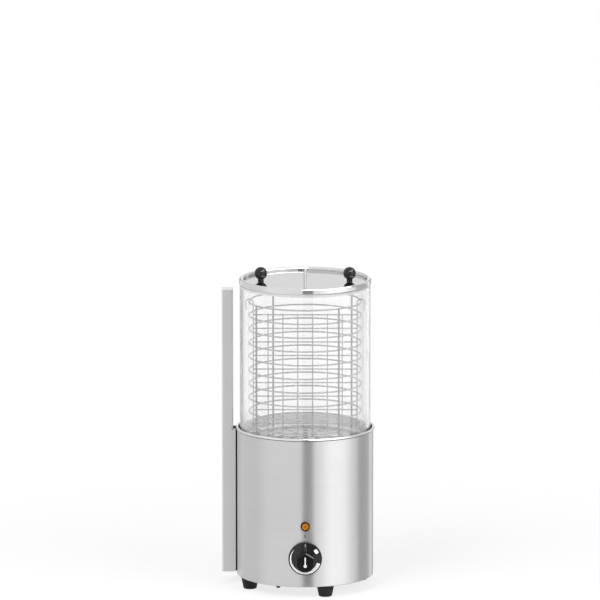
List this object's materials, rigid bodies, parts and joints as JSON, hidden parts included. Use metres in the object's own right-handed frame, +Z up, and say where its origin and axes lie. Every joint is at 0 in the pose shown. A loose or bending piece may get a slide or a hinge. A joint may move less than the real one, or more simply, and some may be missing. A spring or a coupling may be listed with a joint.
{
  "type": "hot dog cooker",
  "caption": "Steam cooker for hot dogs: steel base with water well and knob, glass cylinder, wire basket with hook-in divider, and a two-flap lid.",
  "frame": {"origin": "on the floor under the axis of the base", "axes": "+Z up along the axis of the base, -Y towards the front with the control knob, +X to the right seen from the front"},
  "size_m": [0.2338, 0.2398, 0.4946],
  "materials": {
    "brushed_steel": "brushed round the shell, satin",
    "well_steel": "pressed sheet, smooth",
    "satin_steel": "brushed along its length",
    "plate_steel": "bright punched sheet",
    "polished_steel": "mirror polished",
    "wire_steel": "bright drawn wire",
    "clear_glass": "clear, ground edges",
    "black_rubber": "matte moulded",
    "knob_plastic": "glossy moulded",
    "black_plastic": "moulded",
    "amber_lens": "translucent amber",
    "zinc_steel": "zinc plated",
    "heater_aluminium": "cast, machined",
    "element_sheath": "heat darkened",
    "control_housing": "moulded",
    "bulb_copper": "bare copper",
    "terminal_plastic": "moulded",
    "lead_sleeve": "silicone sleeve"
  },
  "bodies": {
    "base": {"base_shell": "brushed_steel", "base_flange": "satin_steel", "well_rim": "well_steel", "water_well": "well_steel", "bottom_plate": "satin_steel", "bottom_screws": "zinc_steel", "foot_1": "black_rubber", "foot_2": "black_rubber", "foot_3": "black_rubber", "foot_4": "black_rubber", "foot_screws": "zinc_steel", "heater_plate": "heater_aluminium", "heating_element": "element_sheath", "heater_clamp": "zinc_steel", "heater_stud": "zinc_steel", "heater_nut": "zinc_steel", "thermostat": "control_housing", "thermostat_nut": "zinc_steel", "thermostat_bulb": "bulb_copper", "lamp_bezel": "black_plastic", "lamp_lens": "amber_lens", "lamp_body": "control_housing", "lamp_nut": "control_housing", "safety_limiter": "control_housing", "terminal_block": "terminal_plastic", "wiring": "lead_sleeve", "cable_gland": "black_plastic", "cable_gland_nut": "black_plastic", "side_post": "satin_steel", "post_cap": "satin_steel", "post_packing": "black_rubber", "post_screws": "zinc_steel"},
    "knob": {"control_knob": "knob_plastic", "thermostat_shaft": "zinc_steel"},
    "reset": {"reset_button": "black_plastic"},
    "plate": {"perforated_plate": "plate_steel"},
    "glass": {"glass_cylinder": "clear_glass"},
    "basket": {"basket_ring_1": "wire_steel", "basket_ring_2": "wire_steel", "basket_ring_3": "wire_steel", "basket_ring_4": "wire_steel", "basket_ring_5": "wire_steel", "basket_ring_6": "wire_steel", "basket_ring_7": "wire_steel", "basket_ring_8": "wire_steel", "basket_ring_9": "wire_steel", "basket_ring_10": "wire_steel", "basket_ring_11": "wire_steel", "basket_uprights": "wire_steel"},
    "divider": {"divider_grid": "wire_steel", "divider_hook_left": "wire_steel", "divider_hook_right": "wire_steel"},
    "lid": {"lid_ring": "polished_steel", "hinge_pin": "polished_steel"},
    "left_flap": {"flap_left": "polished_steel", "lid_knob_left": "knob_plastic", "lid_knob_screw_left": "zinc_steel"},
    "right_flap": {"flap_right": "polished_steel", "lid_knob_right": "knob_plastic", "lid_knob_screw_right": "zinc_steel"}
  },
  "joints": [
    {"name": "knob_turn", "type": "hinge", "parent": "base", "child": "knob", "pos_m": [0, -0.11, 0.0626], "axis": [0, 1, 0], "range_deg": [0, 270]},
    {"name": "reset_press", "type": "slide", "parent": "base", "child": "reset", "axis": [0, 0, 1], "range_m": [0, 0.002], "stiffness_N_per_m": 400},
    {"name": "plate_lift", "type": "slide", "parent": "base", "child": "plate", "axis": [0, 0, 1], "range_m": [0, 0.061]},
    {"name": "glass_lift", "type": "slide", "parent": "plate", "child": "glass", "axis": [0, 0, 1], "range_m": [0, 0.036]},
    {"name": "basket_lift", "type": "slide", "parent": "glass", "child": "basket", "axis": [0, 0, 1], "range_m": [0, 0.25]},
    {"name": "divider_lift", "type": "slide", "parent": "basket", "child": "divider", "axis": [0, 0, 1], "range_m": [0, 0.22]},
    {"name": "lid_lift", "type": "slide", "parent": "divider", "child": "lid", "axis": [0, 0, 1], "range_m": [0, 0.03]},
    {"name": "left_flap_open", "type": "hinge", "parent": "lid", "child": "left_flap", "pos_m": [0, 0, 0.4746], "axis": [0, 1, 0], "range_deg": [0, 70]},
    {"name": "right_flap_open", "type": "hinge", "parent": "lid", "child": "right_flap", "pos_m": [0, 0, 0.4746], "axis": [0, -1, 0], "range_deg": [0, 70]}
  ]
}
